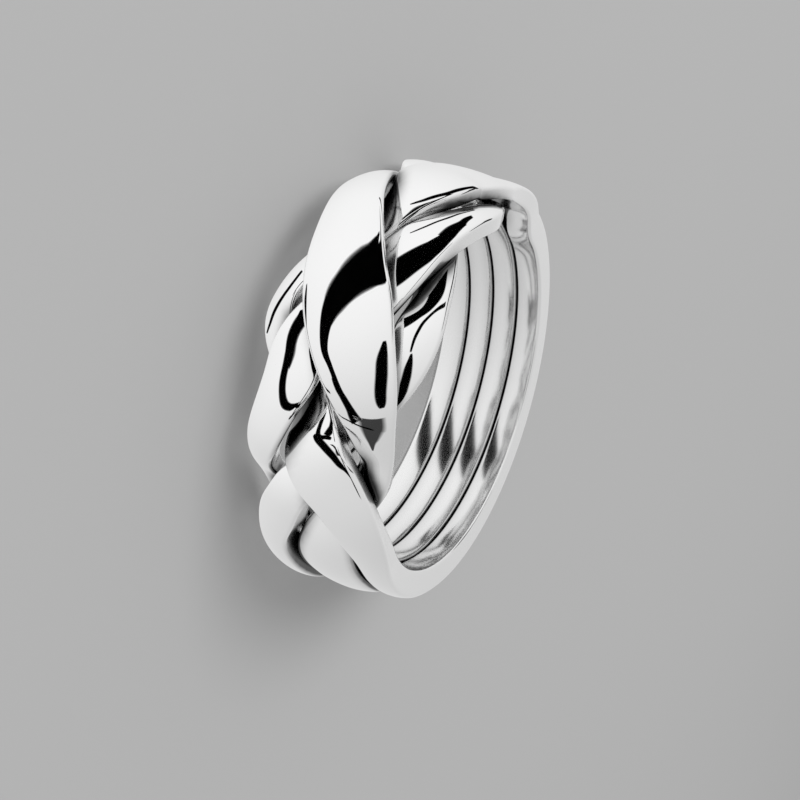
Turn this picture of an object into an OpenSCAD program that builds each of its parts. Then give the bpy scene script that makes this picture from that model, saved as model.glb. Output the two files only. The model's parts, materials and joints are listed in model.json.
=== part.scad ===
/* [Ring] */
// Inside diameter, where the finger goes
finger_d = 18; // [16.5:0.5:21]
// Width of one band at the plain back
band_w = 1.38; // [1.26:0.02:1.38]
// Thickness of one band at the plain back
band_t = 1.55; // [1.35:0.05:1.65]
// Step from one band to the next at the plain back
band_step = 1.43; // [1.43:0.01:1.48]

/* [Section] */
// Height of the domed outer face, as a share of the band's width
dome = 0.09; // [0.06:0.01:0.1]
// Rounding of the outer edges
outer_edge = 0.22; // [0.18:0.02:0.24]
// Rounding of the inner edges
inner_edge = 0.15; // [0.1:0.05:0.15]

/* [Rest] */
// Lean to the back, because the braid's lowest bulge lies on the surface
lean_back = 4; // [0:0.1:5]
// Lean to the side, in the same way
lean_side = 0.7; // [0:0.1:1]

/* [Facets] */
// Sections along the braided front of a band
front_sections = 80; // [60:4:88]
// Sections along the plain back of a band
back_sections = 14; // [12:1:18]

/* [Hidden] */

// The ring's axis is Z before the lean. Angles run from the middle of the braid, at -Y,
// and grow towards +X. The bands lie side by side round the back and braid over the front.
// Degrees on each side of the middle where the plain back begins
FRONT = 118;
// Degrees over which a table's values are evened out, so that the polished faces flow
EASE = 6;
// Shares of the values at steps of a quarter of EASE
EASE_SHARE = [0.037, 0.125, 0.213, 0.25, 0.213, 0.125, 0.037];

// Columns of the band tables: angle, height of the centre above the ring's middle plane,
// rise of the inner face off the finger, width, thickness, roll of the outer face upwards,
// and how far the walls lean in under the outer edges
ANGLE = 0;
HEIGHT = 1;
RISE = 2;
WIDTH = 3;
THICK = 4;
ROLL = 5;
UNDER = 6;

// The plain back of the band in one of the four places, counted from the bottom
function plain(place, a) = [a, (place - 1.5) * band_step, 0, band_w, band_t, 0, 0];

// Bottom band: over the lower band, under the top and upper bands, out to the upper edge,
// under the lower and top bands, and home over the upper band
BOTTOM = [
    plain(0, -115),
    [-101, -2.28, 0.10, 1.38, 1.40,   0, 0.00],
    [ -92, -2.40, 0.75, 1.60, 1.10,   0, 0.00],
    [ -82, -2.15, 0.85, 2.50, 1.00,   0, 0.00],
    [ -74, -1.95, 0.85, 1.90, 0.90,   5, 0.00],
    [ -65, -1.00, 0.55, 1.60, 0.68,  12, 0.00],
    [ -55,  0.40, 0.08, 1.70, 0.80,  10, 0.00],
    [ -45,  1.50, 0.06, 1.60, 0.80,   5, 0.00],
    [ -36,  2.30, 0.06, 1.60, 0.80,   8, 0.00],
    [ -28,  2.70, 0.06, 1.70, 0.75,   8, 0.00],
    [ -20,  3.00, 0.10, 1.70, 0.75,   6, 0.00],
    [ -10,  3.10, 0.33, 2.15, 0.85,  18, 0.00],
    [  -1,  2.90, 0.30, 2.10, 0.95,  18, 0.00],
    [   8,  2.20, 0.20, 2.00, 1.00,  14, 0.00],
    [  16,  1.35, 0.08, 1.60, 0.72,   5, 0.00],
    [  24,  0.35, 0.00, 1.75, 0.70,   0, 0.00],
    [  30, -0.50, 0.25, 1.85, 0.90,   0, 0.00],
    [  36, -1.02, 1.14, 1.84, 1.20,  -5, 0.00],
    [  43, -1.65, 1.04, 2.10, 1.30, -12, 0.00],
    [  53, -2.30, 0.90, 1.65, 1.30, -15, 0.00],
    [  67, -2.50, 0.60, 1.45, 1.50, -10, 0.00],
    [  81, -2.40, 0.40, 1.45, 1.60,  -5, 0.00],
    plain(0, 98),
];

// Lower band: under the bottom band, along the lower edge, over the other three as the
// broad leaf of the front, under the top band, and home over the upper band
LOWER = [
    plain(1, -115),
    [-101, -0.80, 0.00, 1.24, 1.10,   0, 0.00],
    [ -92, -1.10, 0.00, 1.25, 0.70,   0, 0.00],
    [ -82, -2.00, 0.00, 1.50, 0.70,   0, 0.00],
    [ -74, -2.55, 0.00, 1.50, 0.75,   0, 0.00],
    [ -65, -2.80, 0.05, 1.40, 0.80,  -8, 0.00],
    [ -57, -2.40, 0.30, 1.80, 1.30, -12, 0.20],
    [ -47, -2.02, 1.10, 2.06, 1.30, -14, 0.50],
    [ -38, -1.67, 1.65, 2.56, 1.30, -12, 0.65],
    [ -27, -0.98, 1.75, 3.24, 1.40,  -6, 0.70],
    [ -17, -0.23, 1.88, 3.74, 1.40,   0, 0.72],
    [  -9,  0.62, 2.00, 4.04, 1.35,   0, 0.75],
    [  -1,  1.46, 1.97, 3.62, 1.30,   5, 0.65],
    [   7,  2.19, 1.55, 2.88, 1.25,  10, 0.50],
    [  15,  2.57, 1.00, 2.00, 1.00,  14, 0.30],
    [  23,  2.70, 0.32, 1.48, 0.92,  14, 0.10],
    [  32,  2.25, 0.06, 1.90, 1.05,   8, 0.00],
    [  40,  1.40, 0.00, 2.00, 1.05,   0, 0.00],
    [  47,  0.60, 0.20, 2.10, 1.10,   0, 0.00],
    [  54,  0.20, 0.70, 2.70, 1.10,   0, 0.00],
    [  62,  0.00, 0.90, 3.20, 1.10,   0, 0.00],
    [  72,  0.05, 0.90, 3.25, 1.05,   0, 0.00],
    [  81,  0.03, 0.85, 3.30, 1.05,   0, 0.00],
    [  89, -0.50, 0.78, 1.70, 1.10,   0, 0.00],
    [  96, -0.70, 0.30, 1.35, 1.35,   0, 0.00],
    plain(1, 104),
];

// Upper band: under the top band to the upper edge, over the bottom band, under the lower
// band, over the top band to the lower edge, and home under the bottom and lower bands
UPPER = [
    plain(2, -115),
    [-101,  0.72, 0.00, 1.28, 1.30,   0, 0.00],
    [ -94,  0.78, 0.00, 1.20, 0.60,   0, 0.00],
    [ -88,  0.95, 0.00, 1.20, 0.65,   0, 0.00],
    [ -79,  1.50, 0.00, 1.30, 0.65,   0, 0.00],
    [ -68,  2.40, 0.00, 1.40, 0.70,   0, 0.00],
    [ -60,  2.85, 0.10, 1.40, 0.90,   5, 0.00],
    [ -52,  3.20, 0.40, 1.50, 1.00,   8, 0.00],
    [ -45,  3.00, 0.75, 1.60, 1.00,   5, 0.00],
    [ -37,  2.25, 0.90, 2.25, 1.05,   5, 0.00],
    [ -29,  1.55, 0.95, 2.90, 0.95,   2, 0.10],
    [ -20,  0.92, 0.98, 2.95, 0.75,   2, 0.15],
    [ -10, -0.20, 0.98, 3.50, 0.75,   6, 0.20],
    [   0, -1.40, 1.23, 2.85, 0.95,   3, 0.20],
    [   7, -1.45, 1.35, 2.80, 1.10,  -6, 0.30],
    [  15, -1.80, 1.50, 2.25, 1.15, -12, 0.48],
    [  23, -2.24, 1.25, 1.90, 1.30, -15, 0.50],
    [  28, -2.58, 0.92, 1.45, 1.10, -14, 0.35],
    [  34, -2.74, 0.36, 1.10, 0.84, -12, 0.00],
    [  42, -2.40, 0.03, 1.50, 0.70,  -5, 0.00],
    [  55, -1.60, 0.00, 1.60, 0.75,   0, 0.00],
    [  68, -0.60, 0.00, 1.60, 0.70,   0, 0.00],
    [  81,  0.30, 0.00, 1.40, 0.70,   0, 0.00],
    [  90,  0.68, 0.00, 1.10, 0.60,   0, 0.00],
    [  98,  0.72, 0.00, 1.28, 1.30,   0, 0.00],
    plain(2, 106),
];

// Top band: over the upper and bottom bands, under the lower and upper bands at the lower
// edge, and back over the bottom and lower bands to the upper edge
TOP = [
    plain(3, -115),
    [-101,  2.15, 0.05, 1.38, 1.50,   0, 0.00],
    [ -95,  2.15, 0.65, 1.50, 1.15,   0, 0.00],
    [ -89,  1.75, 0.70, 2.30, 1.10,   0, 0.00],
    [ -79,  1.15, 0.78, 3.60, 0.94,   0, 0.00],
    [ -65,  1.06, 1.20, 3.62, 0.96,   5, 0.00],
    [ -58,  0.64, 1.42, 4.06, 0.98,   2, 0.00],
    [ -52,  0.66, 1.56, 3.94, 1.00,   0, 0.00],
    [ -44,  0.19, 1.32, 2.50, 1.00,  -6, 0.00],
    [ -37, -0.65, 0.36, 2.00, 0.95, -10, 0.00],
    [ -30, -1.70, 0.12, 2.10, 1.00, -12, 0.00],
    [ -21, -2.70, 0.26, 2.00, 1.00, -25, 0.00],
    [ -12, -3.20, 0.32, 1.90, 1.10, -36, 0.00],
    [  -4, -3.30, 0.20, 1.85, 0.92, -18, 0.00],
    [   3, -2.60, 0.10, 1.90, 0.95, -12, 0.00],
    [  10, -1.30, 0.10, 2.10, 0.95,  -8, 0.00],
    [  17, -0.28, 0.73, 2.50, 1.00, -14, 0.10],
    [  24,  0.36, 1.53, 3.34, 1.30,  -4, 0.20],
    [  32,  1.60, 1.45, 2.70, 1.30,   8, 0.20],
    [  40,  2.35, 1.25, 2.20, 1.30,  12, 0.15],
    [  49,  2.70, 0.80, 1.70, 1.40,  12, 0.10],
    [  64,  2.60, 0.40, 1.35, 1.40,   8, 0.00],
    [  81,  2.40, 0.10, 1.25, 1.50,   4, 0.00],
    [  98,  2.18, 0.00, 1.36, 1.55,   0, 0.00],
    plain(3, 115),
];

// Angles of all the sections of a band, close together over the braid
FRONT_STEP = 2 * FRONT / front_sections;
BACK_STEP = (360 - 2 * FRONT) / back_sections;
STATIONS = concat([for (i = [0 : front_sections - 1]) i * FRONT_STEP - FRONT],
                  [for (i = [0 : back_sections - 1]) i * BACK_STEP + FRONT]);

// Number of the table's row that starts the stretch holding angle a
function stretch(t, a, i = 0) = a < t[i + 1][ANGLE] ? i : stretch(t, a, i + 1);

// Change per degree at row i: the mean of the two stretches, the shorter one counting more
function slope(t, i) = i == 0 || i == len(t) - 1 ? 0 * t[i] :
    let (before = t[i][ANGLE] - t[i - 1][ANGLE], after = t[i + 1][ANGLE] - t[i][ANGLE])
    ((t[i] - t[i - 1]) * after / before + (t[i + 1] - t[i]) * before / after)
        / (before + after);

// Row of the table at any angle, on a smooth cubic through the rows
function between(t, a) =
    a <= t[0][ANGLE] ? t[0] :
    a >= t[len(t) - 1][ANGLE] ? t[len(t) - 1] :
    let (i = stretch(t, a), h = t[i + 1][ANGLE] - t[i][ANGLE], u = (a - t[i][ANGLE]) / h)
    t[i] * (1 - u) * (1 - u) * (1 + 2 * u) + t[i + 1] * u * u * (3 - 2 * u)
        + h * u * (1 - u) * (slope(t, i) * (1 - u) - slope(t, i + 1) * u);

// The same row, evened out over EASE degrees to each side
function eased(t, a, k = 0) = k == len(EASE_SHARE) ? 0 * t[0] :
    EASE_SHARE[k] * between(t, a + (k - 3) * EASE / 4) + eased(t, a, k + 1);

// Middle of a section's inner face
function on_finger(a, row) = let (r = finger_d / 2 + row[RISE])
    [r * sin(a), -r * cos(a), row[HEIGHT]];

// Outline of a section as [across, outward] pairs: the domed outer face, then the edges,
// walls and flat inner face, clockwise as seen along the band
function outline(w, t, under) =
    let (flat = w / 2 - outer_edge,
         brow = t - dome * w * pow(2 * flat / w, 2),
         round = outer_edge * sin(45),
         foot = inner_edge * (1 - sin(45)),
         toe = w / 2 - under,
         right = [[flat + round, brow - outer_edge + round],
                  [w / 2, brow - outer_edge],
                  [toe, inner_edge],
                  [toe - foot, foot],
                  [toe - inner_edge, 0]])
    concat([for (u = [-3 : 3]) [flat * u / 3, t - dome * w * pow(2 * flat * u / 3 / w, 2)]],
           right,
           [for (i = [len(right) - 1 : -1 : 0]) [-right[i][0], right[i][1]]]);

function unit(v) = v / norm(v);

// Points of one section, in a plane square to the band's run
function section(row, base, run, a) =
    let (radial = [sin(a), -cos(a), 0],
         out = unit(radial - run * (radial * run)),
         side = cross(out, run),
         mid = base + out * row[THICK] / 2,
         across = side * cos(row[ROLL]) - out * sin(row[ROLL]),
         outward = out * cos(row[ROLL]) + side * sin(row[ROLL]))
    [for (p = outline(row[WIDTH], row[THICK], row[UNDER]))
        mid + across * p[0] + outward * (p[1] - row[THICK] / 2)];

// Points of a whole band, one list for each section
function sections(t) =
    let (rows = [for (a = STATIONS) eased(t, a)],
         base = [for (i = [0 : len(STATIONS) - 1]) on_finger(STATIONS[i], rows[i])],
         n = len(STATIONS))
    [for (i = [0 : n - 1])
        section(rows[i], base[i], unit(base[(i + 1) % n] - base[(i + n - 1) % n]), STATIONS[i])];

BANDS = [for (t = [BOTTOM, LOWER, UPPER, TOP]) sections(t)];

// Where the leaning ring's points come to, to set it down on Z = 0 over the origin
function leaned(p) =
    let (y = p[1] * cos(lean_back) + p[2] * sin(lean_back),
         z = p[2] * cos(lean_back) - p[1] * sin(lean_back))
    [p[0] * cos(lean_side) + z * sin(lean_side), y, z * cos(lean_side) - p[0] * sin(lean_side)];
SPOTS = [for (band = BANDS) for (ring = band) for (p = ring) leaned(p)];
LOW = [for (axis = [0 : 2]) min([for (p = SPOTS) p[axis]])];
HIGH = [for (axis = [0 : 2]) max([for (p = SPOTS) p[axis]])];
SET_DOWN = [-(LOW[0] + HIGH[0]) / 2, -(LOW[1] + HIGH[1]) / 2, -LOW[2]];

// One closed band, swept through its sections
module band(place) {
    rings = BANDS[place];
    n = len(rings);
    m = len(rings[0]);
    points = [for (ring = rings) for (p = ring) p];
    faces = [for (i = [0 : n - 1]) for (j = [0 : m - 1])
        let (here = i * m, next = (i + 1) % n * m, k = (j + 1) % m)
        each [[here + j, here + k, next + k], [here + j, next + k, next + j]]];
    translate(SET_DOWN) rotate([-lean_back, lean_side, 0]) polyhedron(points, faces);
}

module bottom_band() {
    color([0.80, 0.81, 0.83]) band(0);
}

module lower_band() {
    color([0.86, 0.87, 0.89]) band(1);
}

module upper_band() {
    color([0.83, 0.84, 0.86]) band(2);
}

module top_band() {
    color([0.89, 0.90, 0.91]) band(3);
}

bottom_band();
lower_band();
upper_band();
top_band();
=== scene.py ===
"""A finger ring of four loose interlinked silver bands, lying on its side on a pale table.

The bands lie side by side round the back and braid over the front. Each is one closed
sweep: a domed section carried round the finger by a short table of angle, height, rise,
width, thickness, roll and lean of the walls. The shapes are worked out in millimetres and
written in metres.
"""
import json

import bpy
import numpy as np
from bpy.props import FloatProperty, FloatVectorProperty, PointerProperty
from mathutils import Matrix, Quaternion, Vector


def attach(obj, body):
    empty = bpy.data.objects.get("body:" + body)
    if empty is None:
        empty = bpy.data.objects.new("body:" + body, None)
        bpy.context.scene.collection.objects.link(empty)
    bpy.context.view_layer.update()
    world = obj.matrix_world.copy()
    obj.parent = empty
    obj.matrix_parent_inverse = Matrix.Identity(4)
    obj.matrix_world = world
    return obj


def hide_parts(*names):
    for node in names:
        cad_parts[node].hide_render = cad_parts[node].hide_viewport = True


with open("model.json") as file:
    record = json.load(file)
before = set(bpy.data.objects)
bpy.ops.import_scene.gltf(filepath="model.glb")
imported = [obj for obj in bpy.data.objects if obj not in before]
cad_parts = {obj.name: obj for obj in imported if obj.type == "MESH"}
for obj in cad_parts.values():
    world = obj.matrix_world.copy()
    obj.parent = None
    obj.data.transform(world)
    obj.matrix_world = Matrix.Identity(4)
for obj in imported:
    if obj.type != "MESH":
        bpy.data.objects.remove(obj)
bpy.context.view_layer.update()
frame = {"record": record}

bl_info = {
    "name": "Braided Ring",
    "version": (1, 0, 0),
    "blender": (4, 5, 0),
    "location": "3D View > Sidebar > Braided Ring",
    "description": "Makes a ring of four interlinked silver bands and the table it lies on",
    "category": "Object",
}

MM = 0.001

# Columns of the band tables: angle from the middle of the braid, height of the centre above
# the ring's middle plane, rise of the inner face off the finger, width, thickness, roll of
# the outer face upwards, and how far the walls lean in under the outer edges
ANGLE, HEIGHT, RISE, WIDTH, THICK, ROLL, UNDER = range(7)

# A band's place at the plain back, in steps upwards from the middle of the four, and the
# angles at which the plain back ends and begins again
PLAIN_BACK = {
    "bottom_band": (-1.5, -115, 98),
    "lower_band": (-0.5, -115, 104),
    "upper_band": (0.5, -115, 106),
    "top_band": (1.5, -115, 115),
}

BRAID = {
    # Over the lower band, under the top and upper bands, out to the upper edge, under the
    # lower and top bands, and home over the upper band
    "bottom_band": [
        [-101, -2.28, 0.10, 1.38, 1.40,   0, 0.00],
        [ -92, -2.40, 0.75, 1.60, 1.10,   0, 0.00],
        [ -82, -2.15, 0.85, 2.50, 1.00,   0, 0.00],
        [ -74, -1.95, 0.85, 1.90, 0.90,   5, 0.00],
        [ -65, -1.00, 0.55, 1.60, 0.68,  12, 0.00],
        [ -55,  0.40, 0.08, 1.70, 0.80,  10, 0.00],
        [ -45,  1.50, 0.06, 1.60, 0.80,   5, 0.00],
        [ -36,  2.30, 0.06, 1.60, 0.80,   8, 0.00],
        [ -28,  2.70, 0.06, 1.70, 0.75,   8, 0.00],
        [ -20,  3.00, 0.10, 1.70, 0.75,   6, 0.00],
        [ -10,  3.10, 0.33, 2.15, 0.85,  18, 0.00],
        [  -1,  2.90, 0.30, 2.10, 0.95,  18, 0.00],
        [   8,  2.20, 0.20, 2.00, 1.00,  14, 0.00],
        [  16,  1.35, 0.08, 1.60, 0.72,   5, 0.00],
        [  24,  0.35, 0.00, 1.75, 0.70,   0, 0.00],
        [  30, -0.50, 0.25, 1.85, 0.90,   0, 0.00],
        [  36, -1.02, 1.14, 1.84, 1.20,  -5, 0.00],
        [  43, -1.65, 1.04, 2.10, 1.30, -12, 0.00],
        [  53, -2.30, 0.90, 1.65, 1.30, -15, 0.00],
        [  67, -2.50, 0.60, 1.45, 1.50, -10, 0.00],
        [  81, -2.40, 0.40, 1.45, 1.60,  -5, 0.00],
    ],
    # Under the bottom band, along the lower edge, over the other three as the broad leaf of
    # the front, under the top band, and home over the upper band
    "lower_band": [
        [-101, -0.80, 0.00, 1.24, 1.10,   0, 0.00],
        [ -92, -1.10, 0.00, 1.25, 0.70,   0, 0.00],
        [ -82, -2.00, 0.00, 1.50, 0.70,   0, 0.00],
        [ -74, -2.55, 0.00, 1.50, 0.75,   0, 0.00],
        [ -65, -2.80, 0.05, 1.40, 0.80,  -8, 0.00],
        [ -57, -2.40, 0.30, 1.80, 1.30, -12, 0.20],
        [ -47, -2.02, 1.10, 2.06, 1.30, -14, 0.50],
        [ -38, -1.67, 1.65, 2.56, 1.30, -12, 0.65],
        [ -27, -0.98, 1.75, 3.24, 1.40,  -6, 0.70],
        [ -17, -0.23, 1.88, 3.74, 1.40,   0, 0.72],
        [  -9,  0.62, 2.00, 4.04, 1.35,   0, 0.75],
        [  -1,  1.46, 1.97, 3.62, 1.30,   5, 0.65],
        [   7,  2.19, 1.55, 2.88, 1.25,  10, 0.50],
        [  15,  2.57, 1.00, 2.00, 1.00,  14, 0.30],
        [  23,  2.70, 0.32, 1.48, 0.92,  14, 0.10],
        [  32,  2.25, 0.06, 1.90, 1.05,   8, 0.00],
        [  40,  1.40, 0.00, 2.00, 1.05,   0, 0.00],
        [  47,  0.60, 0.20, 2.10, 1.10,   0, 0.00],
        [  54,  0.20, 0.70, 2.70, 1.10,   0, 0.00],
        [  62,  0.00, 0.90, 3.20, 1.10,   0, 0.00],
        [  72,  0.05, 0.90, 3.25, 1.05,   0, 0.00],
        [  81,  0.03, 0.85, 3.30, 1.05,   0, 0.00],
        [  89, -0.50, 0.78, 1.70, 1.10,   0, 0.00],
        [  96, -0.70, 0.30, 1.35, 1.35,   0, 0.00],
    ],
    # Under the top band to the upper edge, over the bottom band, under the lower band, over
    # the top band to the lower edge, and home under the bottom and lower bands
    "upper_band": [
        [-101,  0.72, 0.00, 1.28, 1.30,   0, 0.00],
        [ -94,  0.78, 0.00, 1.20, 0.60,   0, 0.00],
        [ -88,  0.95, 0.00, 1.20, 0.65,   0, 0.00],
        [ -79,  1.50, 0.00, 1.30, 0.65,   0, 0.00],
        [ -68,  2.40, 0.00, 1.40, 0.70,   0, 0.00],
        [ -60,  2.85, 0.10, 1.40, 0.90,   5, 0.00],
        [ -52,  3.20, 0.40, 1.50, 1.00,   8, 0.00],
        [ -45,  3.00, 0.75, 1.60, 1.00,   5, 0.00],
        [ -37,  2.25, 0.90, 2.25, 1.05,   5, 0.00],
        [ -29,  1.55, 0.95, 2.90, 0.95,   2, 0.10],
        [ -20,  0.92, 0.98, 2.95, 0.75,   2, 0.15],
        [ -10, -0.20, 0.98, 3.50, 0.75,   6, 0.20],
        [   0, -1.40, 1.23, 2.85, 0.95,   3, 0.20],
        [   7, -1.45, 1.35, 2.80, 1.10,  -6, 0.30],
        [  15, -1.80, 1.50, 2.25, 1.15, -12, 0.48],
        [  23, -2.24, 1.25, 1.90, 1.30, -15, 0.50],
        [  28, -2.58, 0.92, 1.45, 1.10, -14, 0.35],
        [  34, -2.74, 0.36, 1.10, 0.84, -12, 0.00],
        [  42, -2.40, 0.03, 1.50, 0.70,  -5, 0.00],
        [  55, -1.60, 0.00, 1.60, 0.75,   0, 0.00],
        [  68, -0.60, 0.00, 1.60, 0.70,   0, 0.00],
        [  81,  0.30, 0.00, 1.40, 0.70,   0, 0.00],
        [  90,  0.68, 0.00, 1.10, 0.60,   0, 0.00],
        [  98,  0.72, 0.00, 1.28, 1.30,   0, 0.00],
    ],
    # Over the upper and bottom bands, under the lower and upper bands at the lower edge, and
    # back over the bottom and lower bands to the upper edge
    "top_band": [
        [-101,  2.15, 0.05, 1.38, 1.50,   0, 0.00],
        [ -95,  2.15, 0.65, 1.50, 1.15,   0, 0.00],
        [ -89,  1.75, 0.70, 2.30, 1.10,   0, 0.00],
        [ -79,  1.15, 0.78, 3.60, 0.94,   0, 0.00],
        [ -65,  1.06, 1.20, 3.62, 0.96,   5, 0.00],
        [ -58,  0.64, 1.42, 4.06, 0.98,   2, 0.00],
        [ -52,  0.66, 1.56, 3.94, 1.00,   0, 0.00],
        [ -44,  0.19, 1.32, 2.50, 1.00,  -6, 0.00],
        [ -37, -0.65, 0.36, 2.00, 0.95, -10, 0.00],
        [ -30, -1.70, 0.12, 2.10, 1.00, -12, 0.00],
        [ -21, -2.70, 0.26, 2.00, 1.00, -25, 0.00],
        [ -12, -3.20, 0.32, 1.90, 1.10, -36, 0.00],
        [  -4, -3.30, 0.20, 1.85, 0.92, -18, 0.00],
        [   3, -2.60, 0.10, 1.90, 0.95, -12, 0.00],
        [  10, -1.30, 0.10, 2.10, 0.95,  -8, 0.00],
        [  17, -0.28, 0.73, 2.50, 1.00, -14, 0.10],
        [  24,  0.36, 1.53, 3.34, 1.30,  -4, 0.20],
        [  32,  1.60, 1.45, 2.70, 1.30,   8, 0.20],
        [  40,  2.35, 1.25, 2.20, 1.30,  12, 0.15],
        [  49,  2.70, 0.80, 1.70, 1.40,  12, 0.10],
        [  64,  2.60, 0.40, 1.35, 1.40,   8, 0.00],
        [  81,  2.40, 0.10, 1.25, 1.50,   4, 0.00],
        [  98,  2.18, 0.00, 1.36, 1.55,   0, 0.00],
    ],
}

# Degrees over which a table's values are evened out, so that the polished faces flow, and
# the shares of the values at steps of a quarter of it, the middle share being the row's own
EASE = 6
EASE_SHARE = (0.037, 0.125, 0.213, 0.25, 0.213, 0.125, 0.037)

# Sections round a band, and points round a section
SECTIONS = 720
POINTS = 72

# Shares of half an outline's points that the outer face, the outer arc, the wall and the
# inner arc have; the inner face has the rest
OUTLINE_SHARE = (0.36, 0.25, 0.11, 0.14)

# Another band's nearness darkens the silver with painted shade: the millimetres within which
# it does, how much it does from straight beside, how many sections away on each side it is
# looked for, and the millimetres under which two points count as touching
CREVICE = 0.85
CREVICE_ASIDE = 0.3
CREVICE_SECTIONS = 5
TOUCHING = 0.01

# The two finishes that several objects share
SILVER = "polished silver"
CARD = "black card"

# The silver's outer and inner faces: slope and start of a mask on how far the surface faces
# outwards, which is 1 on the middle of the dome, 0 on an upright wall and -1 inside
SKIN_MASK = (1.6, -0.1)
INNER_MASK = (-1.4, -0.3)

# How the noise of the polishing lines is stretched: slow on the way round, quick across it
LINES_SCALE = (0.5, 0.5, 16)

# How fine the ripple of the hand polish is, and the patches of painted shade between the
# bands
CLOUD_SCALE = 900
SHADE_PATCH_SCALE = 2500

# The painted shade between the bands: what comes in patches, what is there everywhere, and
# how much of it the inner faces are spared
SHADE_PATCHY = 0.6
SHADE_EVEN = 1.4
INNER_LESS_SHADE = 0.6

# Roughness that the polishing lines and the walls add, and the limits that it keeps to
LINES_ROUGH = 0.02
WALL_ROUGH = 0.08
ROUGH_LIMITS = (0.01, 0.6)

# Shares of the ripple's depth that the polishing lines have everywhere, that they have more
# of on the inner faces, and that the ripple itself has
LINES_BUMP = 0.08
INNER_LINES_BUMP = 0.1
CLOUD_BUMP = 0.9

# How fine the clouding of the table is, and the share by which it lightens and darkens it
TABLE_CLOUD_SCALE = 12
TABLE_CLOUD = 0.01

# Rings of points on the flat part of the table and round its bend, the share of the flat
# part at which the first one lies, and the points in a ring
TABLE_RINGS = 12
BEND_RINGS = 24
FIRST_RING = 0.05
TABLE_POINTS = 96

# The middle of the finger hole, in metres
HOLE_MIDDLE = frame["record"]["mounts"][0]["pos_m"]

# The camera: where it stands and what it looks at, in millimetres, its turn about the line
# of sight in degrees, its lens and the width of its sensor in millimetres, and the nearest
# that it sees, in metres
EYE = (1.50, -59.06, 32.43)
AIM = (1.19, -0.35, 3.29)
CAMERA_TURN = 105.27
LENS = 59.04
SENSOR = 36
NEAREST_SEEN = 0.005

# Points across a strip of black card, points from one of its rows to the next, and the
# number of points over which each end thins out
CARD_POINTS = 17
CARD_STEPS = 24
CARD_ENDS = 6

# Strips of black card in the tent: rows of azimuth, elevation and half width in degrees, as
# seen from the ring, the share of the half width over which the edges thin out, and how much
# the card covers
TENT_CARDS = {
    "tent_edge_card": ([
        (190, -34, 5), (198, -31, 7), (205, -27, 8.5), (212, -22, 9), (220, -16, 9.5),
        (228, -9, 8.5), (235, -4, 6), (242, -2, 3), (248, 0, 1)], 0.15, 1),
    "gap_card": ([
        (286, 64, 3), (290, 57, 6), (294, 48, 7), (298, 40, 10), (302, 33, 15), (304, 26, 6)],
        0.3, 1),
    "lens_card": ([
        (125, 31, 3), (130, 31, 6), (140, 31, 7.5), (160, 31, 7.5), (175, 28, 6.5),
        (184, 26, 4), (190, 24, 1.5)], 0.25, 1),
}

# Strips of black card that stand or lie close to the ring: the axis that each is square to,
# counted from 0 for X, its place on it, rows of the other two places and half width, all in
# millimetres, and the same last two numbers
NEAR_CARDS = {
    "arc_card": (1, -12.4, [
        (-90, 8.5, 8), (-60, 8.7, 5), (-40, 8.6, 3.4), (-26, 8.4, 2.5), (-18, 8.2, 2.2),
        (-13, 7.8, 2), (-10, 6.9, 1.65), (-8, 6.1, 1.5), (-6, 5.2, 1.4), (-4.5, 4.4, 1.15),
        (-3.2, 4.1, 0.95), (-2.1, 3.8, 0.7), (-1, 3.8, 0.45), (0.2, 4.1, 0.28),
        (1, 4.6, 0.2), (1.6, 4.9, 0.2), (2.2, 5.1, 0.25), (3.4, 5.5, 0.3)], 0.12, 1),
    "loop_card": (1, -12.4, [
        (-3.2, 0.7, 0.12), (-2.3, 1.1, 0.33), (-0.9, 1.4, 0.45), (0.3, 1.3, 0.5),
        (1.5, 1.4, 0.5), (2.5, 1.8, 0.45), (3.2, 2.3, 0.45), (3.4, 2.9, 0.35),
        (3.3, 3.6, 0.3), (3.4, 4.4, 0.2)], 0.2, 1),
    "hook_card": (1, -10.8, [
        (3.5, 3.5, 0.1), (3.7, 4, 0.25), (4.1, 4.8, 0.28), (4.7, 5.6, 0.26),
        (5.4, 6.3, 0.26), (6.1, 7.3, 0.25), (7.2, 8.3, 0.08)], 0.2, 1),
    "curl_card": (1, -11, [
        (-12.5, 13.6, 0.5), (-9.5, 10.8, 0.45), (-7.2, 8.9, 0.32), (-5.2, 8.3, 0.27),
        (-3.3, 8.2, 0.22), (-2.2, 8.2, 0.18), (-1.2, 8.3, 0.12)], 0.2, 1),
    "tail_card": (0, 4.5, [
        (-16.8, 3.1, 0.45), (-14.6, 4.4, 0.45), (-13.4, 5.2, 0.45), (-12, 5.9, 0.45),
        (-11.2, 6.2, 0.55), (-10.8, 6.4, 0.6)], 0.15, 1),
    "tail_end_card": (0, 4.5, [
        (-11.1, 7.7, 1.65), (-10.6, 7.6, 1.45), (-10.2, 7.4, 1.15), (-9.7, 7.2, 0.65),
        (-9.4, 7.1, 0.3), (-9, 7, 0.05)], 0.35, 0.93),
    "tip_card": (0, -7.8, [
        (-8.7, 7.2, 0.7), (-8, 7.2, 0.55), (-7.3, 7.3, 0.3), (-6.9, 7.3, 0.2),
        (-6.5, 7.4, 0.1)], 0.15, 1),
    "brow_card": (0, -9, [
        (-9, 3.5, 0.06), (-8.8, 4, 0.12), (-8.3, 4.8, 0.14), (-7.6, 5.5, 0.14),
        (-7, 6, 0.14), (-6.4, 6.3, 0.12), (-5.8, 6.6, 0.1), (-5.3, 6.8, 0.06)], 0.2, 1),
    "hump_card": (2, 0.1, [
        (-4.1, -9.2, 0.17), (-3.4, -9.6, 0.17), (-2.7, -9.8, 0.17), (-2.1, -9.8, 0.16),
        (-1.5, -9.7, 0.15), (-1, -9.6, 0.13), (-0.5, -9.5, 0.1), (0, -9.3, 0.05)], 0.2, 1),
}

# ---------------------------------------------------------------- the bands' shape

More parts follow.
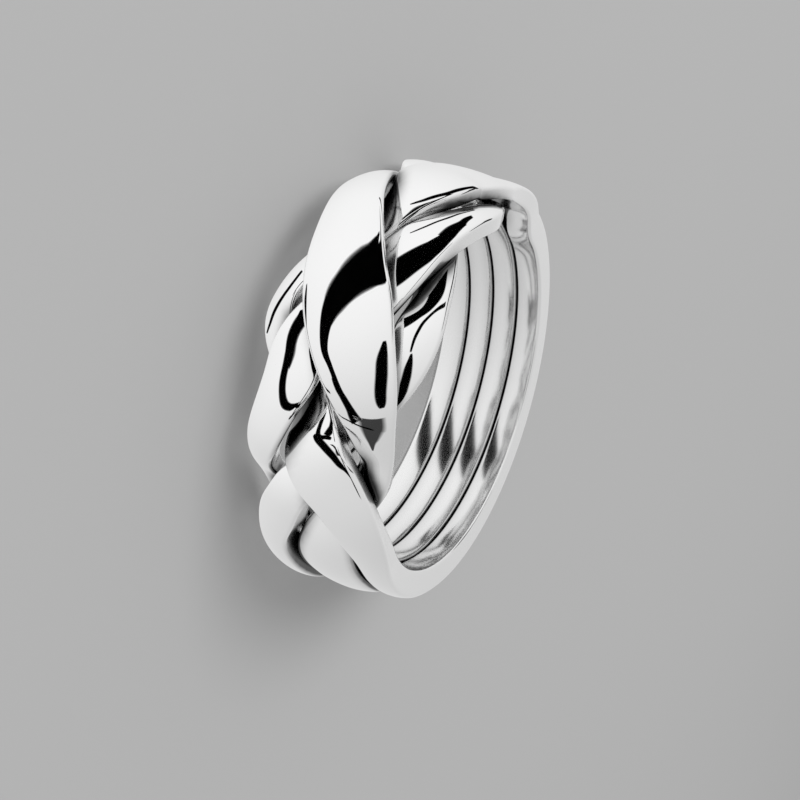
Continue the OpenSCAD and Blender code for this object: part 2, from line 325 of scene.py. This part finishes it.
def between(table, angles):
    """Rows of a table at many angles, on a smooth cubic through its rows. The slope at a row
    is the mean of the stretches on its two sides, the shorter one counting more, and nought
    at the two end rows, whose values hold outside them."""
    at = table[:, ANGLE]
    gap = np.diff(at)[:, None]
    rate = np.diff(table, axis=0) / gap
    slope = np.zeros_like(table)
    slope[1:-1] = (rate[:-1] * gap[1:] + rate[1:] * gap[:-1]) / (gap[:-1] + gap[1:])
    i = np.clip(np.searchsorted(at, angles, side="right") - 1, 0, len(at) - 2)
    h = gap[i]
    u = np.clip((angles[:, None] - at[i][:, None]) / h, 0, 1)
    return (table[i] * (1 - u) ** 2 * (1 + 2 * u) + table[i + 1] * u ** 2 * (3 - 2 * u)
            + h * u * (1 - u) * (slope[i] * (1 - u) - slope[i + 1] * u))


def band_rows(name, ring, angles):
    """Rows of a band at many angles: its table with the plain back put on both ends, each
    value the mean of those up to three quarters of EASE away, by EASE_SHARE."""
    place, last, first = PLAIN_BACK[name]
    back = (place * ring.band_step / MM, 0, ring.band_w / MM, ring.band_t / MM, 0, 0)
    table = np.array([(last, *back), *BRAID[name], (first, *back)], float)
    return sum(share * between(table, angles + step * EASE / 4)
               for step, share in zip(range(-3, 4), EASE_SHARE))


def outline(ring, width, thick, under, points):
    """Outlines of sections, as across and outward, and the cosine between the way each point
    faces and outwards. From the middle of the outer face down one side: the outer face is a
    parabola that stands dome times the width above its ends, an arc leaves it at the
    parabola's own slope and turns into the wall, the wall leans in by some way under its
    edge, a smaller arc turns it inwards, and the inner face is a very flat parabola. The
    other half mirrors the first."""
    edge, toe = ring.outer_edge / MM, ring.inner_edge / MM
    dome, crown = ring.dome, ring.inner_crown / MM
    half = width / 2
    # Where the outer face meets the arc follows from its slope there: three rounds settle it
    flat = half - edge
    for _ in range(3):
        brow_turn = np.arctan(8 * dome * flat / width)
        flat = half - edge + edge * np.sin(brow_turn)
    down = thick - 4 * dome * flat ** 2 / width - edge * np.cos(brow_turn)
    # The wall touches both arcs: its lean follows from where their centres stand
    in_by, drop = edge - toe - under, down - toe
    wall_turn = (np.pi / 2 + np.arcsin((edge - toe) / np.hypot(in_by, drop))
                 - np.arctan2(in_by, drop))
    foot_wide = half - under - toe
    foot_turn = np.arctan(2 * crown / foot_wide)
    # How many of the half outline's points each stretch has
    n = points // 2
    share = [int(round(n * part)) for part in OUTLINE_SHARE]
    share.append(n - sum(share))
    face, arc, wall, small, foot = [np.linspace(0, 1, k, endpoint=False) for k in share]
    # The outer face
    u = face * flat
    over = [(u, thick - 4 * dome * u ** 2 / width, np.arctan(8 * dome * u / width))]
    # The outer arc
    turn = brow_turn + arc * (wall_turn - brow_turn)
    over.append((half - edge + edge * np.sin(turn), down + edge * np.cos(turn), turn))
    # The wall
    high = (half - edge + edge * np.sin(wall_turn), down + edge * np.cos(wall_turn))
    low = (half - under - toe + toe * np.sin(wall_turn), toe + toe * np.cos(wall_turn))
    over.append((high[0] + (low[0] - high[0]) * wall, high[1] + (low[1] - high[1]) * wall,
                 np.broadcast_to(wall_turn, (len(width), len(wall)))))
    # The inner arc
    turn = wall_turn + small * (np.pi - foot_turn - wall_turn)
    over.append((foot_wide + toe * np.sin(turn), toe + toe * np.cos(turn), turn))
    # The inner face
    u = 1 - foot
    over.append(((foot_wide + toe * np.sin(foot_turn)) * u,
                 toe * (1 - np.cos(foot_turn)) - crown * (1 - u ** 2),
                 np.pi - foot_turn * u))
    right = [np.concatenate(parts, axis=1) for parts in zip(*over)]
    # The middle of the inner face begins the other half
    middle = (np.zeros_like(width), toe * (1 - np.cos(foot_turn)) - crown,
              np.full_like(width, np.pi))
    left = [np.concatenate((end, line[:, :0:-1]), axis=1)
            for end, line in zip(middle, right)]
    left[0] = -left[0]
    x, y, turn = [np.concatenate(halves, axis=1) for halves in zip(right, left)]
    return x, y, np.cos(turn)


def unit(v):
    """Vectors over their own lengths."""
    return v / np.linalg.norm(v, axis=-1, keepdims=True)


def stride(points, axis):
    """From the point before to the point after, at each point of a closed row of them."""
    return np.roll(points, -1, axis=axis) - np.roll(points, 1, axis=axis)


def leaned(ring, points):
    """Points of the upright ring turned back, then to the side, and set on the table: the
    middle of the finger hole goes where the frame has it."""
    back, side = ring.lean_back, ring.lean_side
    x, y, z = np.moveaxis(points, -1, 0)
    y, z = y * np.cos(back) + z * np.sin(back), z * np.cos(back) - y * np.sin(back)
    x, z = x * np.cos(side) + z * np.sin(side), z * np.cos(side) - x * np.sin(side)
    return np.stack((x, y, z), axis=-1) + np.array(HOLE_MIDDLE) / MM


def sweep(name, ring, sections, points):
    """Points of a band in millimetres, one row for each section, with the rows' angles, the
    way each point faces and its place across the section. A section's foot stands at the
    finger's radius plus the rise, at its angle and height. It is set square to the run of
    these feet, and turned about its own middle by the roll."""
    angles = np.arange(sections) * 360 / sections - 180
    rows = band_rows(name, ring, angles)
    a = np.radians(angles)
    radial = np.stack((np.sin(a), -np.cos(a), np.zeros_like(a)), axis=-1)
    foot = radial * (ring.finger_d / 2 / MM + rows[:, RISE])[:, None]
    foot[:, 2] = rows[:, HEIGHT]
    run = unit(stride(foot, 0))
    out = unit(radial - run * (radial * run).sum(axis=1, keepdims=True))
    side = np.cross(out, run)
    roll = np.radians(rows[:, ROLL])[:, None]
    width, thick, under = [rows[:, key][:, None] for key in (WIDTH, THICK, UNDER)]
    middle = foot + out * thick / 2
    across = (side * np.cos(roll) - out * np.sin(roll))[:, None]
    outward = (out * np.cos(roll) + side * np.sin(roll))[:, None]
    x, y, faces = outline(ring, width, thick, under, points)
    spots = middle[:, None] + across * x[..., None] + outward * (y - thick / 2)[..., None]
    return leaned(ring, spots), a, faces, x


def crevice(name, ring):
    """How far the other bands shut in each point of a band, from 0 to 1: the most that
    (1 - d / CREVICE) * (CREVICE_ASIDE + c) comes to over their points up to CREVICE_SECTIONS
    from its own section, each bracket kept from 0 to 1, where d is the distance to the other
    point and c the cosine between the way there and the way that the surface faces. It is
    worked out for every other section, evened out with its neighbours, and the mean of two
    sections fills the one between them."""
    own = sweep(name, ring, SECTIONS // 2, POINTS)[0].astype(np.float32)
    rest = np.concatenate([sweep(other, ring, SECTIONS // 2, POINTS)[0]
                           for other in BRAID if other != name], axis=1).astype(np.float32)
    facing = unit(np.cross(stride(own, 0), stride(own, 1)))
    squares, rest_squares = (own ** 2).sum(axis=2), (rest ** 2).sum(axis=2)
    own_along = (facing * own).sum(axis=2)[..., None]
    shut = np.zeros(own.shape[:2], np.float32)
    for shift in range(-CREVICE_SECTIONS, CREVICE_SECTIONS + 1):
        there = np.roll(rest, shift, axis=0)
        far = squares[..., None] + np.roll(rest_squares, shift, axis=0)[:, None]
        far = np.sqrt(np.maximum(far - 2 * own @ there.transpose(0, 2, 1), TOUCHING ** 2))
        cosine = (facing @ there.transpose(0, 2, 1) - own_along) / far
        near = np.clip(1 - far / CREVICE, 0, 1) * np.clip(CREVICE_ASIDE + cosine, 0, 1)
        shut = np.maximum(shut, near.max(axis=2))
    for axis in (1, 0):
        shut = (shut + np.roll(shut, 1, axis=axis) + np.roll(shut, -1, axis=axis)) / 3
    fine = np.empty((SECTIONS, POINTS), np.float32)
    fine[0::2] = shut
    fine[1::2] = (shut + np.roll(shut, -1, axis=0)) / 2
    return fine


def add_object(name, data):
    """An object of a name that shows some data, put into the scene."""
    made = bpy.data.objects.new(name, data)
    bpy.context.scene.collection.objects.link(made)
    return made


def surface(name, spots, closed=(False, False), values=None):
    """A mesh object from a grid of points in metres: each cell is one face, and a closed
    direction joins its last points to its first. Values are kept as attributes."""
    n, m = spots.shape[:2]
    rows = np.arange(n if closed[0] else n - 1)[:, None]
    cols = np.arange(m if closed[1] else m - 1)[None, :]
    down, right = (rows + 1) % n, (cols + 1) % m
    corners = np.stack((rows * m + cols, down * m + cols,
                        down * m + right, rows * m + right), axis=-1).reshape(-1, 4)
    mesh = bpy.data.meshes.new(name)
    mesh.vertices.add(n * m)
    mesh.vertices.foreach_set("co", spots.reshape(-1).astype(np.float32))
    mesh.loops.add(corners.size)
    mesh.loops.foreach_set("vertex_index", corners.reshape(-1).astype(np.int32))
    mesh.polygons.add(len(corners))
    mesh.polygons.foreach_set("loop_start", np.arange(0, corners.size, 4, dtype=np.int32))
    mesh.update(calc_edges=True)
    mesh.shade_smooth()
    for label, value in (values or {}).items():
        kind, key = ("FLOAT_VECTOR", "vector") if value.ndim == 3 else ("FLOAT", "value")
        layer = mesh.attributes.new(label, kind, "POINT")
        layer.data.foreach_set(key, value.reshape(-1).astype(np.float32))
    return add_object(name, mesh)


def make_band(name):
    """One silver band: the swept grid, closed both ways, with what its finish reads. The
    way of polishing runs round a circle as wide as the finger hole, and across the band in
    millimetres."""
    ring = bpy.context.scene.braided_ring
    spots, a, faces, x = sweep(name, ring, SECTIONS, POINTS)
    circle = np.stack((np.cos(a), np.sin(a)), axis=-1)[:, None] * ring.finger_d / 2 / MM
    circle = np.broadcast_to(circle, (SECTIONS, POINTS, 2))
    way = np.concatenate((circle, x[..., None]), axis=2)
    band = surface(name + "_polished", spots * MM, (True, True), {
        "faces": faces, "crevice": crevice(name, ring), "polish_way": way})
    band.data.materials.append(bpy.data.materials.get(SILVER) or polished_silver())
    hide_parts(name)
    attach(band, "root")


# ---------------------------------------------------------------- finishes

class Tone:
    """A node's output that can be reckoned with: a sum or product on it adds a Math node."""

    def __init__(self, tree, socket=None):
        self.tree, self.socket = tree, socket

    def node(self, kind, settings=None, inputs=None, output=0):
        """Adds a node of a kind, makes its settings, then gives its sockets their values or
        links, and returns one of its outputs."""
        made = self.tree.nodes.new("ShaderNode" + kind)
        for key, value in (settings or {}).items():
            setattr(made, key, value)
        for key, value in (inputs or {}).items():
            if isinstance(value, Tone):
                self.tree.links.new(value.socket, made.inputs[key])
            else:
                made.inputs[key].default_value = value
        return Tone(self.tree, made.outputs[output])

    def math(self, operation, *values):
        """The outcome of a Math node."""
        return self.node("Math", {"operation": operation}, dict(enumerate(values)))

    def __add__(self, other):
        return self.math("ADD", self, other)

    def __sub__(self, other):
        return self.math("SUBTRACT", self, other)

    def __rsub__(self, other):
        return self.math("SUBTRACT", other, self)

    def __mul__(self, other):
        return self.math("MULTIPLY", self, other)

    __radd__, __rmul__ = __add__, __mul__

    def held(self, low=0, high=1):
        """The value kept between two limits."""
        return self.math("MINIMUM", self.math("MAXIMUM", self, low), high)

    def mask(self, slope, start):
        """Slope times the value plus a start, kept from 0 to 1."""
        return (self * slope + start).held()

    def kept(self, name, output="Fac"):
        """What the mesh keeps under a name at each point."""
        return self.node("Attribute", {"attribute_name": name}, output=output)

    def noise(self, where, scale, detail, roughness=0.5):
        """Soft noise from 0 to 1 at a place, with some finer layers."""
        return self.node("TexNoise", None, {"Vector": where, "Scale": scale,
                                            "Detail": detail, "Roughness": roughness})

    def mix(self, share, first, second):
        """A colour that passes from the first to the second by a share. The numbers are the
        places of the Mix node's sockets for colours."""
        first, second = [paint if isinstance(paint, Tone) else (*paint, 1)
                         for paint in (first, second)]
        return self.node("Mix", {"data_type": "RGBA"}, {0: share, 6: first, 7: second}, 2)

    def show(self, kind):
        """Makes this shader what the material or the world shows."""
        output = self.tree.nodes.new("ShaderNodeOutput" + kind)
        self.tree.links.new(self.socket, output.inputs["Surface"])


def cleared(owner):
    """The start of a material's or a world's nodes, with none there yet."""
    owner.use_nodes = True
    owner.node_tree.nodes.clear()
    return Tone(owner.node_tree)


def polished_silver():
    """Silver, brightest on the domed outer faces: fine polishing lines run along the bands,
    the inner faces and walls are a little duller, and where bands lie close together painted
    shade darkens the silver in patches."""
    look = bpy.context.scene.silver_finish
    silver = bpy.data.materials.new(SILVER)
    start = cleared(silver)
    faces, close = start.kept("faces"), start.kept("crevice")
    way = start.kept("polish_way", "Vector")
    where = start.node("TexCoord", output="Object")
    skin, inner = faces.mask(*SKIN_MASK), faces.mask(*INNER_MASK)
    wall = (1 - skin - inner).held()
    stretched = start.node("Mapping", {"vector_type": "POINT"},
                           {"Vector": way, "Scale": LINES_SCALE})
    lines = start.noise(stretched, scale=1, detail=3, roughness=0.6)
    cloud = start.noise(where, CLOUD_SCALE, detail=2)
    shade_patches = start.noise(where, SHADE_PATCH_SCALE, detail=1)
    # Painted shade: the colour darkens towards near black where other bands lie close, in
    # patches, less on the inner faces
    dark = close * (shade_patches * SHADE_PATCHY + SHADE_EVEN) * (1 - inner * INNER_LESS_SHADE)
    colour = start.mix(dark.held() * look.crevice_shade_amount,
                       start.mix(inner, look.colour, look.inner_colour),
                       look.crevice_shade_colour)
    rough = (look.polish + skin * (lines - 0.5) * LINES_ROUGH + (1 - skin) * look.satin
             + wall * WALL_ROUGH)
    height = lines * (inner * INNER_LINES_BUMP + LINES_BUMP) + cloud * CLOUD_BUMP
    bump = start.node("Bump", None, {
        "Strength": 1, "Distance": look.ripple, "Height": height})
    start.node("BsdfPrincipled", None, {
        "Metallic": 1, "Base Color": colour, "Roughness": rough.held(*ROUGH_LIMITS),
        "Normal": bump}).show("Material")
    return silver


def table_top():
    """The plain pale table: matt, with the faintest clouding."""
    look = bpy.context.scene.table_and_light
    table = bpy.data.materials.new("pale table")
    start = cleared(table)
    where = start.node("TexCoord", output="Object")
    cloud = start.noise(where, TABLE_CLOUD_SCALE, detail=2)
    shade = start.mix(cloud, [v * (1 - TABLE_CLOUD) for v in look.table_colour],
                      [min(v * (1 + TABLE_CLOUD), 1) for v in look.table_colour])
    start.node("BsdfDiffuse", None, {"Color": shade}).show("Material")
    return table


def black_card():
    """Black card whose cover thins out towards its edges."""
    card = bpy.data.materials.new(CARD)
    start = cleared(card)
    clear = start.node("BsdfTransparent", None, {"Color": (1, 1, 1, 1)})
    black = start.node("Emission", None, {"Color": (0, 0, 0, 1), "Strength": 0})
    cover = start.kept("cover")
    start.node("MixShader", None, {0: cover, 1: clear, 2: black}).show("Material")
    return card


# ---------------------------------------------------------------- the stage

def towards(azimuth, elevation):
    """Unit vectors to compass directions, counted from +Y towards +X, and heights above the
    horizon, in degrees."""
    azimuth, elevation = np.radians(azimuth), np.radians(elevation)
    return np.stack((np.sin(azimuth) * np.cos(elevation),
                     np.cos(azimuth) * np.cos(elevation), np.sin(elevation)), axis=-1)


def strip(name, line, side, half, edge, most, middle):
    """A strip of black card seen only in the silver: half a width to each side of a line,
    thinning out over a share of the half width and over its first and last points."""
    u = np.linspace(-1, 1, CARD_POINTS)
    spots = line[:, None] + side[:, None] * (half[:, None] * u)[..., None]
    ends = np.arange(len(line), dtype=float)
    ends = np.minimum(ends, ends[::-1])[:, None] / CARD_ENDS
    cover = np.clip((1 - np.abs(u)) / edge, 0, 1) * np.clip(ends, 0, 1) * most
    card = surface(name, spots + np.array(middle), values={"cover": cover})
    card.data.materials.append(bpy.data.materials.get(CARD) or black_card())
    card.visible_camera = card.visible_diffuse = False
    card.visible_shadow = card.visible_transmission = False


def along(rows):
    """The rows of a card and many between them, on the same smooth cubic as the bands' rows,
    with a row's number in place of its angle."""
    rows = np.column_stack((np.arange(len(rows)), rows))
    places = np.linspace(0, len(rows) - 1, CARD_STEPS * (len(rows) - 1) + 1)
    return between(rows, places)[:, 1:]


def make_cards():
    """Strips of black card round the ring. Those of the tent follow directions as seen from
    the ring, at one distance from it; each near one keeps to a plane."""
    look = bpy.context.scene.table_and_light
    for name, (rows, edge, most) in TENT_CARDS.items():
        rows = along(rows)
        line = towards(rows[:, 0], rows[:, 1])
        side = unit(np.cross(line, np.gradient(line, axis=0)))
        strip(name, line * look.card_distance, side,
              np.tan(np.radians(rows[:, 2])) * look.card_distance, edge, most, HOLE_MIDDLE)
    for name, (axis, place, rows, edge, most) in NEAR_CARDS.items():
        rows = along(rows) * MM
        line = np.insert(rows[:, :2], axis, place * MM, axis=1)
        side = unit(np.cross(np.gradient(line, axis=0), np.eye(3)[axis]))
        strip(name, line, side, rows[:, 2], edge, most, (0, 0, 0))


def make_table():
    """The table and the sweep behind it, one round surface: flat out to the bend, then a
    quarter circle, then upright."""
    look = bpy.context.scene.table_and_light
    flat, bend, wall = look.table_radius, look.table_radius / 2, look.table_radius / 2
    turn = np.linspace(0, np.pi / 2, BEND_RINGS)[1:]
    level = np.append(0, np.linspace(FIRST_RING, 1, TABLE_RINGS) * flat)
    out = np.concatenate((level, flat + bend * np.sin(turn), [flat + bend]))
    up = np.concatenate((np.zeros_like(level), bend * (1 - np.cos(turn)), [bend + wall]))
    a = np.linspace(0, 2 * np.pi, TABLE_POINTS, endpoint=False)
    spots = np.stack((np.outer(out, np.cos(a)), np.outer(out, np.sin(a)),
                      np.outer(up, np.ones_like(a))), axis=-1)
    table = surface("table", spots, (False, True))
    table.data.materials.append(table_top())
    table.visible_glossy = table.visible_diffuse = table.visible_shadow = False


def make_light():
    """Soft light from all round, brightest low down before the braid, and one wide soft lamp
    that gives the shadow its side."""
    look = bpy.context.scene.table_and_light
    world = bpy.data.worlds.new("soft tent")
    bpy.context.scene.world = world
    start = cleared(world)
    way = start.node("TexCoord", output="Generated")
    side = start.node("VectorMath", {"operation": "DOT_PRODUCT"},
                      {0: way, 1: tuple(look.bright_side)}, output="Value")
    # A cosine from -1 to 1 becomes a share from 0 to 1
    share = side.mask(0.5, 0.5)
    shade = start.mix(share, [look.tent_low] * 3, [look.tent_high] * 3)
    start.node("Background", None, {"Color": shade, "Strength": 1}).show("World")

    lamp = bpy.data.lights.new("soft lamp", "AREA")
    lamp.shape, lamp.size, lamp.energy = "DISK", look.lamp_size, look.lamp_power
    made = add_object("soft lamp", lamp)
    made.location = look.lamp_place
    made.rotation_mode = "QUATERNION"
    made.rotation_quaternion = (-made.location).to_track_quat("-Z", "Y")
    made.visible_glossy = made.visible_camera = False


def make_camera():
    """The camera at the photograph's angle, turned about its own line of sight, because the
    ring lies on its side here."""
    lens = bpy.data.cameras.new("camera")
    lens.lens, lens.sensor_width, lens.clip_start = LENS, SENSOR, NEAREST_SEEN
    made = add_object("camera", lens)
    eye, aim = Vector(EYE) * MM, Vector(AIM) * MM
    made.location = eye
    made.rotation_mode = "QUATERNION"
    made.rotation_quaternion = ((aim - eye).to_track_quat("-Z", "Y")
                                @ Quaternion((0, 0, 1), np.radians(CAMERA_TURN)))
    bpy.context.scene.camera = made
    bpy.context.scene.view_settings.view_transform = "Standard"


# ---------------------------------------------------------------- what a user may change

class BraidedRing(bpy.types.PropertyGroup):
    """Sizes of the ring."""
    finger_d: FloatProperty(name="Inside Diameter", description="Where the finger goes",
                            default=0.018, min=0.0165, max=0.021, unit="LENGTH")
    band_w: FloatProperty(name="Band Width", description="Width of one band at the back",
                          default=0.00138, min=0.00126, max=0.00138, unit="LENGTH")
    band_t: FloatProperty(name="Band Thickness", description="Thickness at the back",
                          default=0.00155, min=0.00135, max=0.00165, unit="LENGTH")
    band_step: FloatProperty(name="Band Step", description="From one band to the next",
                             default=0.00143, min=0.00143, max=0.00148, unit="LENGTH")
    dome: FloatProperty(name="Dome", description="Height of the outer face over its width",
                        default=0.09, min=0.06, max=0.1, subtype="FACTOR")
    outer_edge: FloatProperty(name="Outer Edge", description="Rounding of the outer edges",
                              default=0.00022, min=0.00018, max=0.00024, unit="LENGTH")
    inner_edge: FloatProperty(name="Inner Edge", description="Rounding of the inner edges",
                              default=0.00015, min=0.0001, max=0.00015, unit="LENGTH")
    inner_crown: FloatProperty(name="Inner Crown", description="Swell of the inner faces",
                               default=0.00003, min=0, max=0.0001, precision=6,
                               unit="LENGTH")
    lean_back: FloatProperty(name="Lean Back", description="Lean on the braid's bulge",
                             default=np.radians(4), min=0, max=0.1, subtype="ANGLE")
    lean_side: FloatProperty(name="Lean Aside", description="Lean to the side on it",
                             default=np.radians(0.7), min=0, max=0.1, subtype="ANGLE")


class SilverFinish(bpy.types.PropertyGroup):
    """The look of the silver."""
    colour: FloatVectorProperty(name="Silver", description="Colour of the bare metal",
                                default=(0.93, 0.93, 0.93), min=0, max=1, subtype="COLOR")
    inner_colour: FloatVectorProperty(name="Inner Faces", description="Colour of the inside",
                                      default=(0.86, 0.86, 0.86), min=0, max=1,
                                      subtype="COLOR")
    # Colour and strength of the painted shade between the bands
    crevice_shade_colour: FloatVectorProperty(name="Crevices", description="Colour between bands",
                                        default=(0.03, 0.03, 0.03), min=0, max=1,
                                        subtype="COLOR")
    crevice_shade_amount: FloatProperty(name="Crevice Tone", description="How dark crevices get",
                                default=0.9, min=0, max=1, subtype="FACTOR")
    polish: FloatProperty(name="Polish", description="Roughness of the outer faces",
                          default=0.035, min=0.01, max=0.3, subtype="FACTOR")
    satin: FloatProperty(name="Satin", description="Roughness the other faces have on top",
                         default=0.1, min=0, max=0.5, subtype="FACTOR")
    ripple: FloatProperty(name="Ripple", description="Depth of the hand polish's ripple",
                          default=0.0000008, min=0, max=0.00001, precision=7, unit="LENGTH")


class TableAndLight(bpy.types.PropertyGroup):
    """The table and the light."""
    table_colour: FloatVectorProperty(name="Table", description="Colour of the table",
                                      default=(0.44, 0.44, 0.44), min=0, max=1,
                                      subtype="COLOR")
    table_radius: FloatProperty(name="Table Radius", description="Size of the flat part",
                                default=0.8, min=0.2, max=3, unit="LENGTH")
    tent_low: FloatProperty(name="Dim Side", description="Brightness of the tent's dim side",
                            default=0.6, min=0, max=3)
    tent_high: FloatProperty(name="Bright Side",
                             description="Brightness of the tent's bright side",
                             default=1, min=0, max=3)
    bright_side: FloatVectorProperty(name="Brightest Towards",
                                     description="Where the bright side of the tent is",
                                     default=(-0.7, -0.5, -0.4), subtype="DIRECTION")
    card_distance: FloatProperty(name="Card Distance", description="From ring to cards",
                                 default=0.4, min=0.1, max=2, unit="LENGTH")
    lamp_power: FloatProperty(name="Lamp", description="Power of the soft lamp",
                              default=1.2, min=0, max=100, unit="POWER")
    lamp_size: FloatProperty(name="Lamp Size", description="Width of the soft lamp",
                             default=0.35, min=0.01, max=2, unit="LENGTH")
    lamp_place: FloatVectorProperty(name="Lamp Place", description="Where the lamp stands",
                                    default=(-0.30, -0.10, 0.45), subtype="TRANSLATION")


# ---------------------------------------------------------------- operators and panel

class BottomBand(bpy.types.Operator):
    """Makes the lowest band of the plain back, the small leaf of the front"""
    bl_idname = "braided_ring.bottom_band"
    bl_label = "Bottom Band"

    def execute(self, context):
        make_band("bottom_band")
        return {"FINISHED"}


class LowerBand(bpy.types.Operator):
    """Makes the second band, the broad leaf of the front"""
    bl_idname = "braided_ring.lower_band"
    bl_label = "Lower Band"

    def execute(self, context):
        make_band("lower_band")
        return {"FINISHED"}


class UpperBand(bpy.types.Operator):
    """Makes the third band, which passes under the broad leaf"""
    bl_idname = "braided_ring.upper_band"
    bl_label = "Upper Band"

    def execute(self, context):
        make_band("upper_band")
        return {"FINISHED"}


class TopBand(bpy.types.Operator):
    """Makes the topmost band of the plain back"""
    bl_idname = "braided_ring.top_band"
    bl_label = "Top Band"

    def execute(self, context):
        make_band("top_band")
        return {"FINISHED"}


class RingStage(bpy.types.Operator):
    """Sets up the table, the light, the black cards and the camera"""
    bl_idname = "braided_ring.stage"
    bl_label = "Table and Light"

    def execute(self, context):
        make_table()
        make_light()
        make_cards()
        make_camera()
        return {"FINISHED"}


class RingPanel(bpy.types.Panel):
    """Sizes, finish, light and the steps that make the ring"""
    bl_idname = "VIEW3D_PT_braided_ring"
    bl_label = "Braided Ring"
    bl_space_type = "VIEW_3D"
    bl_region_type = "UI"
    bl_category = "Braided Ring"

    def draw(self, context):
        for group in (context.scene.braided_ring, context.scene.silver_finish,
                      context.scene.table_and_light):
            box = self.layout.box()
            for key in group.__annotations__:
                box.prop(group, key)
        for step in STEPS:
            self.layout.operator(step.bl_idname)


STEPS = (RingStage, BottomBand, LowerBand, UpperBand, TopBand)
GROUPS = {"braided_ring": BraidedRing, "silver_finish": SilverFinish,
          "table_and_light": TableAndLight}


def register():
    for made in (*GROUPS.values(), *STEPS, RingPanel):
        bpy.utils.register_class(made)
    for key, group in GROUPS.items():
        setattr(bpy.types.Scene, key, PointerProperty(type=group))


def unregister():
    for key in GROUPS:
        delattr(bpy.types.Scene, key)
    for made in (RingPanel, *reversed(STEPS), *reversed(GROUPS.values())):
        bpy.utils.unregister_class(made)


def main():
    """Registers the add-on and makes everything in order."""
    register()
    for step in STEPS:
        name = step.bl_idname.split(".")[1]
        if getattr(bpy.ops.braided_ring, name)() != {"FINISHED"}:
            raise RuntimeError(step.bl_label + " could not be made")


if __name__ == "__main__":
    main()
